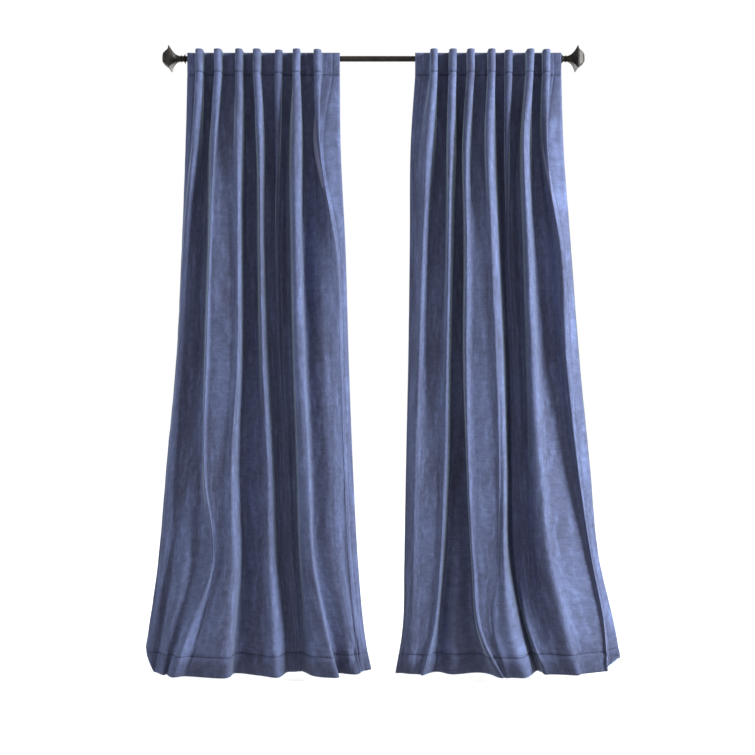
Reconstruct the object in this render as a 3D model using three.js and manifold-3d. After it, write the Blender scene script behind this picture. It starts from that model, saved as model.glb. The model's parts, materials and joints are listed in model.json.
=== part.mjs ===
// A pair of back-tab curtain panels hanging on a telescoping rod.
// Millimetres, +Z up, +Y towards the wall, +X to the right of someone facing the window.
// The object is modelled about the middle of the rod, then the outer group moves its origin to the
// middle of the left wall plate's back face.

import * as THREE from 'three';
import { mergeVertices } from 'three/addons/utils/BufferGeometryUtils.js';
import Module from 'manifold-3d';

// ---- Driving dimensions -------------------------------------------------------------------------

// Rod: a steel tube that telescopes over a thinner one.
const outerTubeRadius = 9.5;
const tubeWall = 1;
const tubeSlip = 0.5;              // between the two tubes, all round
const innerTubeRadius = outerTubeRadius - tubeWall - tubeSlip;
const tubeLength = 890;            // each tube
const rodEndX = 645;               // each end of the assembled rod, from its middle

// Brackets.
const projection = 89;             // rod axis to wall
const cupWall = 3.2;
const cupClearance = 0.3;
const cupLip = 3;                  // the cup's sides above the rod axis
const bracketWidth = 8;
const armHeight = 10;
const plateWidth = 25;
const plateHeight = 76;
const plateThickness = 3;
const plateCorner = 6;
const wallScrewSpacing = 56;
const wallScrewRadius = 2;
const wallScrewHeadRadius = 4;
const wallScrewHeadHeight = 2.4;
const wallScrewReach = 30;         // into the wall, behind the plate
const screwHoleClearance = 0.25;
const thumbScrewRadius = 2;
const threadClearance = 0.06;
const knobRadius = 4.5;
const knobHeight = 6;
const knobGap = 2;                 // between the knob and the cup

// Finials.
const finialSquare = 75;           // side of the square plate
const finialNeckRadius = 9.6;
const finialBeadRadius = 11.5;
const collarRadius = 16;
const collarThickness = 2.4;
const studRadius = 3;
const studReach = 16;              // how far the stud stands out of the finial
const studSeat = 14;               // how far the stud sits in the finial
const insertLength = 22;

// Panels. Every panel is described from its outer edge inwards.
const panelLength = 2134;
const headerTop = 17;              // above the rod axis
const headerHeight = 76;
const clothThickness = 3;
const foldWidth = 26;
const foldDepth = 55;
const foldGrowth = 0.9;            // how much deeper the folds stand at the hem
const flareCurve = 1.6;            // how late the panel flares on its way down
const clothToTube = 0.8;           // from the front of the rod to the back of the cloth
const foldLap = 0.8;               // between a fold's free wall and the next flat behind it
const leftEndGap = 7;              // from the rod's end to the panel's outer edge
const rightEndGap = 1;
const panels = [
  { side: 'left', outerX: leftEndGap - rodEndX, inward: 1, width: 523,
    foldAt: [47, 110, 181, 242, 315, 376, 448], outerFlare: 155, innerFlare: 103 },
  { side: 'right', outerX: rodEndX - rightEndGap, inward: -1, width: 501,
    foldAt: [55, 112, 183, 242, 313, 374, 438], outerFlare: 213, innerFlare: 68 },
];

// Back tabs.
const tabWidth = 30;
const tabThickness = 2;
const tabToTube = 0.6;
const tabToCloth = 0.3;

const touchGap = 0.3;              // between pieces that touch

// ---- Materials ----------------------------------------------------------------------------------

const bronze = () => new THREE.MeshStandardMaterial({ color: 0x35302c, roughness: 0.45, metalness: 0.85 });
const steel = () => new THREE.MeshStandardMaterial({ color: 0x9a9a9c, roughness: 0.35, metalness: 0.95 });
const velvet = () => new THREE.MeshStandardMaterial({ color: 0x4e5685, roughness: 0.95, metalness: 0 });
const backing = () => new THREE.MeshStandardMaterial({ color: 0x6a7093, roughness: 0.9, metalness: 0 });

// ---- Small helpers ------------------------------------------------------------------------------

const round = 28;                  // facets round every turned piece
const assembly = new THREE.Group();

function addPiece(name, geometry, material, parent = assembly) {
  const mesh = new THREE.Mesh(geometry, material);
  mesh.name = name;
  parent.add(mesh);
  return mesh;
}

// A turned solid whose axis is Y; profile points are [radius, height].
function turned(profile) {
  return new THREE.LatheGeometry(profile.map(([r, y]) => new THREE.Vector2(r, y)), round);
}

// A turned ring or tube of constant wall.
function ring(innerRadius, outerRadius, from, to) {
  return turned([[innerRadius, from], [outerRadius, from], [outerRadius, to], [innerRadius, to],
    [innerRadius, from]]);
}

// A turned solid laid along X, towards +X for direction 1 and towards -X for direction -1.
function alongX(geometry, direction = 1) {
  return geometry.rotateZ(-direction * Math.PI / 2);
}

const wasm = await Module();
wasm.setup();

function toSolid(geometry) {
  const bare = geometry.clone();
  bare.deleteAttribute('normal');
  bare.deleteAttribute('uv');
  const merged = mergeVertices(bare, 1e-4);
  const vertProperties = new Float32Array(merged.attributes.position.array);
  const triVerts = new Uint32Array(merged.index.array);
  return new wasm.Manifold(new wasm.Mesh({ numProp: 3, vertProperties, triVerts }));
}

function toGeometry(solid) {
  const { vertProperties, triVerts } = solid.getMesh();
  const geometry = new THREE.BufferGeometry();
  geometry.setAttribute('position', new THREE.BufferAttribute(new Float32Array(vertProperties), 3));
  geometry.setIndex(new THREE.BufferAttribute(new Uint32Array(triVerts), 1));
  geometry.computeVertexNormals();
  return geometry;
}

// ---- Rod ----------------------------------------------------------------------------------------

// The outer tube starts at the left end, the inner tube starts at the right end.
function addTubes() {
  const outer = ring(outerTubeRadius - tubeWall, outerTubeRadius, -rodEndX, -rodEndX + tubeLength);
  const inner = ring(innerTubeRadius - tubeWall, innerTubeRadius, rodEndX - tubeLength, rodEndX);
  addPiece('outer_tube', alongX(outer), bronze());
  addPiece('inner_tube', alongX(inner), bronze());
}

// ---- Brackets -----------------------------------------------------------------------------------

// The arm and its open-topped cup, drawn side-on and given the bracket's width.
function bracketArm(tubeRadius) {
  const inner = tubeRadius + cupClearance;
  const outer = inner + cupWall;
  const back = projection - plateThickness - touchGap;
  const shape = new THREE.Shape();
  shape.moveTo(-outer, cupLip);
  shape.lineTo(-outer, 0);
  shape.absarc(0, 0, outer, Math.PI, 1.5 * Math.PI, false);
  shape.lineTo(back, -outer);
  shape.lineTo(back, -outer + armHeight);
  shape.lineTo(outer, -outer + armHeight);
  shape.lineTo(outer, cupLip);
  shape.lineTo(inner, cupLip);
  shape.lineTo(inner, 0);
  shape.absarc(0, 0, inner, 2 * Math.PI, Math.PI, true);
  shape.lineTo(-inner, cupLip);
  const arm = new THREE.ExtrudeGeometry(shape, { depth: bracketWidth, curveSegments: 8, bevelEnabled: false });
  arm.translate(0, 0, -bracketWidth / 2);
  // Drawn as (y, z) with the width along the third axis: turn it so that y is Y and z is Z.
  arm.applyMatrix4(new THREE.Matrix4().makeBasis(
    new THREE.Vector3(0, 1, 0), new THREE.Vector3(0, 0, 1), new THREE.Vector3(1, 0, 0)));
  const hole = new THREE.CylinderGeometry(thumbScrewRadius + threadClearance,
    thumbScrewRadius + threadClearance, 4 * cupWall, round);
  hole.rotateX(Math.PI / 2).translate(0, 0, -outer);
  return toGeometry(toSolid(arm).subtract(toSolid(hole)));
}

function wallPlate() {
  const w = plateWidth / 2;
  const h = plateHeight / 2;
  const c = plateCorner;
  const shape = new THREE.Shape();
  shape.moveTo(w, h - c);
  shape.absarc(w - c, h - c, c, 0, 0.5 * Math.PI, false);
  shape.absarc(-w + c, h - c, c, 0.5 * Math.PI, Math.PI, false);
  shape.absarc(-w + c, -h + c, c, Math.PI, 1.5 * Math.PI, false);
  shape.absarc(w - c, -h + c, c, 1.5 * Math.PI, 2 * Math.PI, false);
  for (const end of [-1, 1]) {
    const hole = new THREE.Path();
    hole.absarc(0, end * wallScrewSpacing / 2, wallScrewRadius + screwHoleClearance, 0, 2 * Math.PI, true);
    shape.holes.push(hole);
  }
  const plate = new THREE.ExtrudeGeometry(shape, { depth: plateThickness, curveSegments: 6, bevelEnabled: false });
  // Its front face looks along -Y and its back face lies on the wall.
  return plate.rotateX(Math.PI / 2).translate(0, plateThickness, 0);
}

// A pan-head screw pointing along +Y, its head's underside at the origin.
function wallScrew() {
  const head = wallScrewHeadHeight;
  const reach = plateThickness + touchGap + wallScrewReach;
  return turned([[0, -head], [wallScrewHeadRadius * 0.6, -head], [wallScrewHeadRadius, -head * 0.3],
    [wallScrewHeadRadius, 0], [wallScrewRadius, 0], [wallScrewRadius, reach - 5], [0, reach]]);
}

// A knurled knob under the cup with its thread reaching up to the rod.
function thumbScrew(tubeRadius) {
  const cupBottom = -(tubeRadius + cupClearance + cupWall);
  const tip = -(tubeRadius + touchGap);
  const knobTop = cupBottom - knobGap;
  return turned([[0, knobTop - knobHeight], [knobRadius - 0.8, knobTop - knobHeight],
    [knobRadius, knobTop - knobHeight + 0.8], [knobRadius, knobTop - 0.8], [knobRadius - 0.8, knobTop],
    [thumbScrewRadius, knobTop], [thumbScrewRadius, tip], [0, tip]]).rotateX(Math.PI / 2);
}

function plateCentreZ(tubeRadius) {
  return -(tubeRadius + cupClearance + cupWall) + armHeight / 2;
}

function addBracket(side, x, tubeRadius) {
  const bracket = new THREE.Group();
  bracket.position.x = x;
  assembly.add(bracket);
  const plateZ = plateCentreZ(tubeRadius);
  addPiece(`${side}_bracket_arm`, bracketArm(tubeRadius), bronze(), bracket);
  addPiece(`${side}_thumb_screw`, thumbScrew(tubeRadius), bronze(), bracket);
  const plate = addPiece(`${side}_wall_plate`, wallPlate(), bronze(), bracket);
  plate.position.set(0, projection - plateThickness, plateZ);
  for (const [name, end] of [['upper', 1], ['lower', -1]]) {
    const screw = addPiece(`${side}_wall_screw_${name}`, wallScrew(), steel(), bracket);
    screw.position.set(0, projection - plateThickness - touchGap, plateZ + end * wallScrewSpacing / 2);
  }
}

// ---- Finials ------------------------------------------------------------------------------------

// A square-section solid along Y: each station is [distance, half of the square's side].
function squareLoft(stations) {
  const shape = new THREE.Shape([[-1, -1], [1, -1], [1, 1], [-1, 1]].map(([a, b]) => new THREE.Vector2(a, b)));
  const steps = stations.length - 1;
  const loft = new THREE.ExtrudeGeometry(shape, { depth: steps, steps, bevelEnabled: false });
  const position = loft.attributes.position;
  for (let i = 0; i < position.count; i++) {
    const [distance, half] = stations[Math.round(position.getZ(i))];
    position.setXYZ(i, position.getX(i) * half, position.getY(i) * half, distance);
  }
  return loft.rotateX(-Math.PI / 2);
}

// The four faces sweep out from the neck to the square plate in a concave curve, then step in
// to a smaller square that bulges outwards as a blunt dome.
function finialStations() {
  const half = finialSquare / 2;
  const flareFrom = 17;
  const flareTo = 49;
  const steps = 8;
  const flare = Array.from({ length: steps + 1 }, (_, i) => {
    const t = i / steps;
    return [flareFrom + (flareTo - flareFrom) * t,
      finialNeckRadius * 0.72 + (half - finialNeckRadius * 0.72) * (0.25 * t + 0.75 * t ** 3)];
  });
  return [...flare, [52, half], [55, half * 0.8], [58, half * 0.73], [62, half * 0.66], [66, half * 0.59],
    [70, half * 0.52], [74, half * 0.4], [77, half * 0.2], [78, half * 0.05]];
}

// Distances run outwards from the collar's outer face.
function finialBody() {
  const neck = turned([[0, 0], [collarRadius - 2.5, 0], [finialNeckRadius + 1.2, 3], [finialNeckRadius, 6],
    [finialNeckRadius, 10], [finialBeadRadius, 11.5], [finialBeadRadius, 13.5], [finialNeckRadius, 15.5],
    [finialNeckRadius, 26], [0, 26]]);
  const socket = turned([[0, -1], [studRadius + touchGap, -1], [studRadius + touchGap, studSeat + touchGap],
    [0, studSeat + touchGap]]);
  return toGeometry(toSolid(neck).add(toSolid(squareLoft(finialStations()))).subtract(toSolid(socket)));
}

function addFinial(side, direction, tubeRadius) {
  const finial = new THREE.Group();
  finial.position.x = direction * rodEndX;
  assembly.add(finial);
  const collarFrom = touchGap;
  const bodyFrom = collarFrom + collarThickness + touchGap;
  const insertRadius = tubeRadius - tubeWall - touchGap;
  const body = alongX(finialBody(), direction).translate(direction * bodyFrom, 0, 0);
  const collar = ring(studRadius + touchGap, collarRadius, collarFrom, collarFrom + collarThickness);
  const stud = turned([[0, -studReach], [studRadius - 0.6, -studReach], [studRadius, -studReach + 1],
    [studRadius, bodyFrom + studSeat], [0, bodyFrom + studSeat]]);
  const insert = ring(studRadius + threadClearance, insertRadius, -insertLength, 0);
  addPiece(`${side}_finial`, body, bronze(), finial);
  addPiece(`${side}_finial_collar`, alongX(collar, direction), bronze(), finial);
  addPiece(`${side}_finial_stud`, alongX(stud, direction), steel(), finial);
  addPiece(`${side}_tube_insert`, alongX(insert, direction), steel(), finial);
}

// ---- Panels -------------------------------------------------------------------------------------

const clothBack = -(outerTubeRadius + clothToTube);
const clothFront = clothBack - clothThickness;
const foldRadius = foldWidth / 2;

// Where flat number i (0 is the outermost) starts and ends along the header.
function flatSpan(panel, i) {
  const from = i === 0 ? 0 : panel.foldAt[i - 1] + foldRadius + touchGap;
  const to = i === panel.foldAt.length ? panel.width : panel.foldAt[i] - foldRadius;
  return [from, to];
}

// Seen from above: a flat that is held to the rod, then, on all but the last, a narrow fold that
// stands forwards of it and comes back just in front of the next flat.
function pleatOutline(panel, i) {
  const [from, to] = flatSpan(panel, i);
  const x = (u) => panel.outerX + panel.inward * u;
  const outline = [[from, clothBack]];
  if (i < panel.foldAt.length) {
    const middle = panel.foldAt[i];
    const tipY = clothFront - foldDepth + foldRadius;
    const arc = (radius, start, end) => {
      const segments = 5;
      for (let s = 0; s <= segments; s++) {
        const angle = start + (end - start) * s / segments;
        outline.push([middle + radius * Math.cos(angle), tipY + radius * Math.sin(angle)]);
      }
    };
    outline.push([to + clothThickness, clothBack]);
    arc(foldRadius - clothThickness, Math.PI, 2 * Math.PI);
    outline.push([middle + foldRadius - clothThickness, clothFront - foldLap]);
    outline.push([middle + foldRadius, clothFront - foldLap]);
    arc(foldRadius, 2 * Math.PI, Math.PI);
    outline.push([to, clothFront]);
  } else {
    outline.push([to, clothBack], [to, clothFront]);
  }
  outline.push([from, clothFront]);
  return new THREE.Shape(outline.map(([u, y]) => new THREE.Vector2(x(u), y)));
}

// Below the header the panel spreads sideways and its folds stand deeper.
function flareCloth(geometry, panel) {
  const position = geometry.attributes.position;
  for (let i = 0; i < position.count; i++) {
    const drop = Math.max(0, headerTop - headerHeight - position.getZ(i)) / (panelLength - headerHeight);
    const flare = drop ** flareCurve;
    const u = (position.getX(i) - panel.outerX) * panel.inward;
    const spread = -panel.outerFlare + (panel.outerFlare + panel.innerFlare) * u / panel.width;
    position.setX(i, position.getX(i) + panel.inward * spread * flare);
    position.setY(i, clothBack + (position.getY(i) - clothBack) * (1 + foldGrowth * flare));
  }
  return geometry;
}

function pleat(panel, i) {
  const steps = 8;
  const geometry = new THREE.ExtrudeGeometry(pleatOutline(panel, i),
    { depth: panelLength, steps, bevelEnabled: false });
  geometry.translate(0, 0, headerTop - panelLength);
  return flareCloth(geometry, panel);
}

// A strip sewn to the header's top edge and to the pocket seam, with the rod behind the cloth
// and inside the loop, drawn side-on.
function tabShape() {
  const front = clothBack + tabToCloth;
  const inner = outerTubeRadius + tabToTube;
  const outer = inner + tabThickness;
  const top = headerTop - 1.5;
  const bottom = headerTop - headerHeight + 2;
  const leaving = -0.35;           // angle at which the strip leaves the rod's back
  const shape = new THREE.Shape();
  shape.moveTo(front, top);
  shape.lineTo(0, outer);
  shape.absarc(0, 0, outer, Math.PI / 2, leaving, true);
  shape.lineTo(front, bottom);
  shape.lineTo(front, bottom + tabThickness * 1.3);
  shape.lineTo(inner * Math.cos(leaving), inner * Math.sin(leaving));
  shape.absarc(0, 0, inner, leaving, Math.PI / 2, false);
  shape.lineTo(front, top - tabThickness);
  return shape;
}

function backTab(panel, i) {
  const [from, to] = flatSpan(panel, i);
  const strip = new THREE.ExtrudeGeometry(tabShape(), { depth: tabWidth, curveSegments: 7, bevelEnabled: false });
  strip.translate(0, 0, -tabWidth / 2);
  strip.applyMatrix4(new THREE.Matrix4().makeBasis(
    new THREE.Vector3(0, 1, 0), new THREE.Vector3(0, 0, 1), new THREE.Vector3(1, 0, 0)));
  return strip.translate(panel.outerX + panel.inward * (from + to) / 2, 0, 0);
}

function addPanel(panel) {
  for (let i = 0; i <= panel.foldAt.length; i++) {
    addPiece(`${panel.side}_pleat_${i + 1}`, pleat(panel, i), velvet());
    addPiece(`${panel.side}_back_tab_${i + 1}`, backTab(panel, i), backing());
  }
}

// ---- Assembly -----------------------------------------------------------------------------------

addTubes();
const bracketX = panels.map((panel) => panel.outerX + panel.inward * panel.foldAt[0]);
addBracket('left', bracketX[0], outerTubeRadius);
addBracket('right', bracketX[1], innerTubeRadius);
addFinial('left', -1, outerTubeRadius);
addFinial('right', 1, innerTubeRadius);
panels.forEach(addPanel);

assembly.position.set(-bracketX[0], -projection, -plateCentreZ(outerTubeRadius));
const curtains = new THREE.Group();
curtains.add(assembly);

export default curtains;
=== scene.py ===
# %% [markdown]
# # Velvet curtains on a telescoping rod
# Two panels of velvet hang by tabs sewn to their backs, so the rod passes behind the cloth and only
# narrow folds show at the top. Everything hard was settled in the CAD frame. This notebook gives each piece
# its real surface: the cloth as one parametric sheet per panel, the metal as turned and lofted shapes.
# The frame is loaded first. Nothing made here may outgrow it.

# %% Load the frame
import json
import math
import bmesh
import bpy
import numpy as np
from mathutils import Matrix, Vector


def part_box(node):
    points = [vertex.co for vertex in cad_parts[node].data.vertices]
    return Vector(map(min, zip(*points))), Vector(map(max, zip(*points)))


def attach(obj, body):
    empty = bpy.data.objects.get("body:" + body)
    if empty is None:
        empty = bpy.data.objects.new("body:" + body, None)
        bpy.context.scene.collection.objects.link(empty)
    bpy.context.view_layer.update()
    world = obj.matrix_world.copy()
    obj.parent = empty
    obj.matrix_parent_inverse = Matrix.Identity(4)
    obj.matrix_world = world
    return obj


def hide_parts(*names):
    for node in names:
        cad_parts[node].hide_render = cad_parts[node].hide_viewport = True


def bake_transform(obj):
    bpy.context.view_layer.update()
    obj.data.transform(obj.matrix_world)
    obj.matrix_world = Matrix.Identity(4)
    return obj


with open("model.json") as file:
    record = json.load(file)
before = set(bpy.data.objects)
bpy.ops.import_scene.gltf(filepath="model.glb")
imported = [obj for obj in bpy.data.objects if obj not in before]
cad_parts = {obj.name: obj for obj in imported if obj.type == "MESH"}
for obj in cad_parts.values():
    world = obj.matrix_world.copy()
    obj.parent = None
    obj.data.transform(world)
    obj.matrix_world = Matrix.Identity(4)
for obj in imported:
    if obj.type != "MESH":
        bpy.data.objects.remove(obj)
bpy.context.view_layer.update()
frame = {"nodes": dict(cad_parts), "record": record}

MM = 0.001

# %% [markdown]
# ## Measures taken from the frame
# A maker measures the bracket and rod before cutting cloth. In the same way every place below is read from
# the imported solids: the rod's axis from its tube, and the folds' places from the top edge of each pleat.

# %% Read the rod and the header from the solids
def node_points(node):
    """All vertices of a CAD node as an array of x, y, z."""
    mesh = frame["nodes"][node].data
    flat = np.empty(3 * len(mesh.vertices))
    mesh.vertices.foreach_get("co", flat)
    return flat.reshape(-1, 3)


def centre(node):
    """The middle of a CAD node's box."""
    low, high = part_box(node)
    return (np.array(low) + np.array(high)) / 2


outer_low, outer_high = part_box("outer_tube")
inner_low, inner_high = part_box("inner_tube")
ROD_Y, ROD_Z = centre("outer_tube")[1:]
ROD_MIDDLE = (outer_low[0] + inner_high[0]) / 2
OUTER_RADIUS = (outer_high[2] - outer_low[2]) / 2
INNER_RADIUS = (inner_high[2] - inner_low[2]) / 2

FOLD_RADIUS = 13 * MM           # outside of a fold's round front, at the header
HEADER = 76 * MM                # from the top edge down to the pocket seam
HEM = 76 * MM                   # from the hem's seam down to the lower edge
SIDE_HEM = 25 * MM
SHEET = 1.8 * MM                # velvet with its backing
HALF_SOLID = 1.5 * MM           # half the thickness of the cloth's CAD solids
EDGE_BAND = 0.1 * MM            # how near the top edge a CAD vertex counts as on it

top_low, top_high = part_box("left_pleat_8")
PANEL_TOP = top_high[2]
PANEL_LENGTH = top_high[2] - top_low[2]
CLOTH_BACK = top_high[1]
FLAT_Y = CLOTH_BACK - HALF_SOLID    # the middle of the cloth where it lies against the rod
print("rod middle", round(ROD_MIDDLE, 4), "panel length", round(PANEL_LENGTH, 4))

# %% Find the folds along the header
def header_of(side):
    """Edges and fold centres of one panel's header, from left to right, read off the pleats' top edges."""
    spans = []
    for k in range(1, 9):
        points = node_points(f"{side}_pleat_{k}")
        top = points[points[:, 2] > PANEL_TOP - EDGE_BAND]
        spans.append((top[:, 0].min(), top[:, 0].max()))
    spans.sort()
    edges = spans[0][0], spans[-1][1]
    if side == "left":
        folds = [high - FOLD_RADIUS for low, high in spans[:-1]]
    else:
        folds = [low + FOLD_RADIUS for low, high in spans[1:]]
    return edges, np.array(folds)


fold_points = node_points("left_pleat_1")
FOLD_DEPTH = FLAT_Y - fold_points[fold_points[:, 2] > PANEL_TOP - EDGE_BAND][:, 1].min() - SHEET / 2
for side in ("left", "right"):
    edges, folds = header_of(side)
    print(side, "header", np.round(edges, 3), "folds", np.round(folds, 3))

# %% [markdown]
# ## Small tools for surfaces
# Every new piece is a surface: a grid of points worked out as whole arrays and handed to the mesh in one go.
# Three tools do all of it. A stack of rings makes anything turned or lofted, a sheet joins a front and a back
# grid into thin closed cloth, and a swarm repeats one tiny shape, such as a stitch, along a line.

# %% Turn arrays into meshes
def signed_volume(points, triangles):
    """Six times the volume inside the triangles, positive when they face outwards."""
    a, b, c = (points[triangles[:, i]] for i in range(3))
    return np.einsum("ij,ij->", a, np.cross(b, c))


def new_piece(name, points, faces, materials, uv=None, face_slots=None):
    """One object at the origin from vertices and faces; faces are turned over if they point inwards.
    uv gives one pair per vertex, face_slots one material number per face."""
    points = np.asarray(points, float)
    faces = [np.asarray(group) for group in faces]
    triangles = np.concatenate([np.concatenate([g[:, [0, i, i + 1]] for i in range(1, g.shape[1] - 1)])
                                for g in faces])
    if signed_volume(points - points.mean(0), triangles) < 0:
        faces = [g[:, ::-1] for g in faces]
    mesh = bpy.data.meshes.new(name)
    mesh.from_pydata(points.tolist(), [], [row for g in faces for row in g.tolist()])
    mesh.polygons.foreach_set("use_smooth", np.ones(len(mesh.polygons), bool))
    for material in materials:
        mesh.materials.append(material)
    if face_slots is not None:
        mesh.polygons.foreach_set("material_index", np.asarray(face_slots, np.int32))
    if uv is not None:
        corner = np.empty(len(mesh.loops), np.int32)
        mesh.loops.foreach_get("vertex_index", corner)
        layer = mesh.uv_layers.new(name="cloth")
        layer.data.foreach_set("uv", np.asarray(uv, float)[corner].ravel())
    mesh.validate()
    piece = bpy.data.objects.new(name, mesh)
    bpy.context.scene.collection.objects.link(piece)
    return piece


def ring_stack(rings, closed=False):
    """Points and faces of a stack of rings, shape (rings, points round each, 3). The ends are closed with a
    fan to their middle, or with closed=True the last ring joins the first."""
    count, around = rings.shape[:2]
    points = rings.reshape(-1, 3)
    i = np.arange(count if closed else count - 1)[:, None]
    j = np.arange(around)[None, :]
    k = (i + 1) % count
    quads = np.stack([i * around + j, i * around + (j + 1) % around,
                      k * around + (j + 1) % around, k * around + j], -1).reshape(-1, 4)
    if closed:
        return points, [quads]
    ends = np.array([rings[0].mean(0), rings[-1].mean(0)])
    first, last = len(points), len(points) + 1
    j = j[0]
    start = np.stack([np.full(around, first), (j + 1) % around, j], -1)
    base = (count - 1) * around
    finish = np.stack([np.full(around, last), base + j, base + (j + 1) % around], -1)
    return np.concatenate([points, ends]), [quads, np.concatenate([start, finish])]


def swarm(shape_points, shape_faces, places):
    """Many copies of one small closed shape. places is (copies, 4, 3): a centre, then the three directions
    that its own x, y and z follow."""
    moved = np.einsum("pa,cab->cpb", shape_points, places[:, 1:]) + places[:, None, 0]
    step = np.arange(len(places))[:, None, None] * len(shape_points)
    faces = [(group[None] + step).reshape(-1, group.shape[1]) for group in shape_faces]
    return moved.reshape(-1, 3), faces


def smoothstep(t):
    """0 below 0, 1 above 1, and an S-curve between."""
    t = np.clip(t, 0, 1)
    return t * t * (3 - 2 * t)


# %% A spline as a matrix, and gentle noise
def spline_matrix(knots, at):
    """A smooth curve through values at the knots, written as a matrix: one row for each place asked for, one
    column for each knot. On each stretch it is the cubic that meets both ends, with the slope there a
    weighted mean of the slopes on its two sides. A whole surface is then two matrix products."""
    n = len(knots)
    h = np.diff(knots)[:, None]
    same = np.eye(n)
    slope = (same[1:] - same[:-1]) / h
    inner = (h[1:] * slope[:-1] + h[:-1] * slope[1:]) / (h[1:] + h[:-1])
    tangent = np.concatenate([slope[:1], inner, slope[-1:]])
    k = np.clip(np.searchsorted(knots, at) - 1, 0, n - 2)
    t = (at - knots[k])[:, None] / h[k]
    return (1 + 2 * t) * (1 - t) ** 2 * same[k] + t * (1 - t) ** 2 * h[k] * tangent[k] \
        + t ** 2 * (3 - 2 * t) * same[k + 1] + t ** 2 * (t - 1) * h[k] * tangent[k + 1]


def soft_noise(u, v, cell_u, cell_v, seed):
    """Smooth hills between -1 and 1: random heights on a lattice of the given cell, joined by S-curves."""
    size = 256
    heights = np.random.default_rng(seed).uniform(-1, 1, (size, size))
    gu, gv = np.broadcast_arrays(u / cell_u, v / cell_v)
    iu, iv = np.floor(gu).astype(int), np.floor(gv).astype(int)
    fu, fv = smoothstep(gu - iu), smoothstep(gv - iv)

    def height(a, b):
        return heights[a % size, b % size]

    near = height(iu, iv) * (1 - fu) + height(iu + 1, iv) * fu
    far = height(iu, iv + 1) * (1 - fu) + height(iu + 1, iv + 1) * fu
    return near * (1 - fv) + far * fv


# %% [markdown]
# ## How the cloth hangs
# Seen from above, the header is a row of flats held to the rod by the tabs, with a narrow U fold between
# each pair. Lower down the folds lean, merge and open, and the panel flares. A simulation would settle into
# folds of its own, so the hang is written as a fold plan instead: for each crest and valley, where it stands
# at seven heights below the header, and how far it stands forwards. A spline across the cloth and another
# down it make one smooth sheet of the plan, and small ripples and puckers are added on top.

# %% The fold plans
# Each row starts with a place along the header: 0 is the left edge, 1 to 7 the folds, 1.5 the flat between 1
# and 2, and 8 the right edge. Then come millimetres from the middle of the rod, and millimetres forwards of
# the flats, at each height but the first. At the first height, 0, the header's own line is used.
PLAN_HEIGHTS = np.array([0, 0.107, 0.291, 0.475, 0.659, 0.817, 0.918, 1])   # shares of the drop
LEFT_PLAN = [
    (0.0, (-643, -656, -675, -710, -738, -767, -795), (0, 2, 0, 0, 4, 6, 8)),
    (1.0, (-603, -637, -655, -687, -715, -739, -762), (50, 36, 30, 24, 20, 20, 22)),
    (1.35, (-587, -610, -624, -652, -685, -715, -742), (-6, 14, 10, 8, 12, 18, 22)),
    (1.65, (-563, -578, -592, -610, -640, -681, -711), (-8, -4, -2, 14, 50, 58, 60)),
    (1.85, (-556, -565, -577, -583, -596, -652, -702), (20, 15, 15, 24, 40, 50, 54)),
    (2.0, (-542, -553, -567, -573, -555, -628, -686), (58, 62, 64, 68, 76, 82, 88)),
    (2.35, (-529, -542, -548, -558, -540, -591, -643), (32, 60, 62, 67, 70, 70, 82)),
    (2.65, (-477, -477, -477, -503, -527, -573, -616), (36, 63, 68, 72, 72, 76, 85)),
    (3.0, (-455, -454, -454, -472, -466, -481, -496), (64, 72, 78, 82, 88, 94, 98)),
    (3.35, (-443, -441, -440, -450, -442, -457, -470), (-8, -6, 0, 4, 8, 14, 22)),
    (3.65, (-404, -403, -399, -394, -390, -386, -390), (-8, -6, 6, 28, 40, 48, 54)),
    (4.0, (-385, -381, -373, -354, -345, -331, -324), (60, 62, 64, 66, 70, 76, 82)),
    (4.35, (-373, -369, -355, -336, -322, -299, -299), (-10, -8, -4, 0, 4, 8, 14)),
    (4.65, (-338, -341, -331, -317, -306, -282, -282), (-10, -6, -4, 0, 4, 8, 12)),
    (5.0, (-327, -330, -320, -303, -292, -268, -265), (26, 8, 4, 4, 6, 10, 14)),
    (5.35, (-314, -317, -310, -290, -279, -258, -251), (-8, -6, -4, 0, 4, 8, 14)),
    (5.65, (-287, -285, -276, -264, -254, -240, -235), (-8, -6, 0, 4, 10, 14, 20)),
    (5.8, (-274, -271, -264, -249, -238, -217, -203), (52, 62, 66, 66, 64, 64, 68)),
    (6.0, (-255, -251, -238, -220, -204, -166, -131), (60, 68, 76, 84, 90, 93, 96)),
    (6.35, (-242, -238, -226, -206, -192, -154, -120), (-10, -12, 18, 40, 48, 46, 42)),
    (6.65, (-201, -189, -175, -147, -133, -92, -76), (-8, 16, 36, 56, 60, 58, 56)),
    (7.0, (-186, -137, -124, -110, -93, -69, -52), (50, 36, 37, 50, 54, 52, 50)),
    (7.65, (-169, -114, -100, -86, -69, -49, -28), (12, 18, 26, 40, 44, 42, 42)),
    (8.0, (-113, -96, -85, -70, -52, -34, -8), (2, 4, 12, 24, 28, 28, 30)),
]
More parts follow.
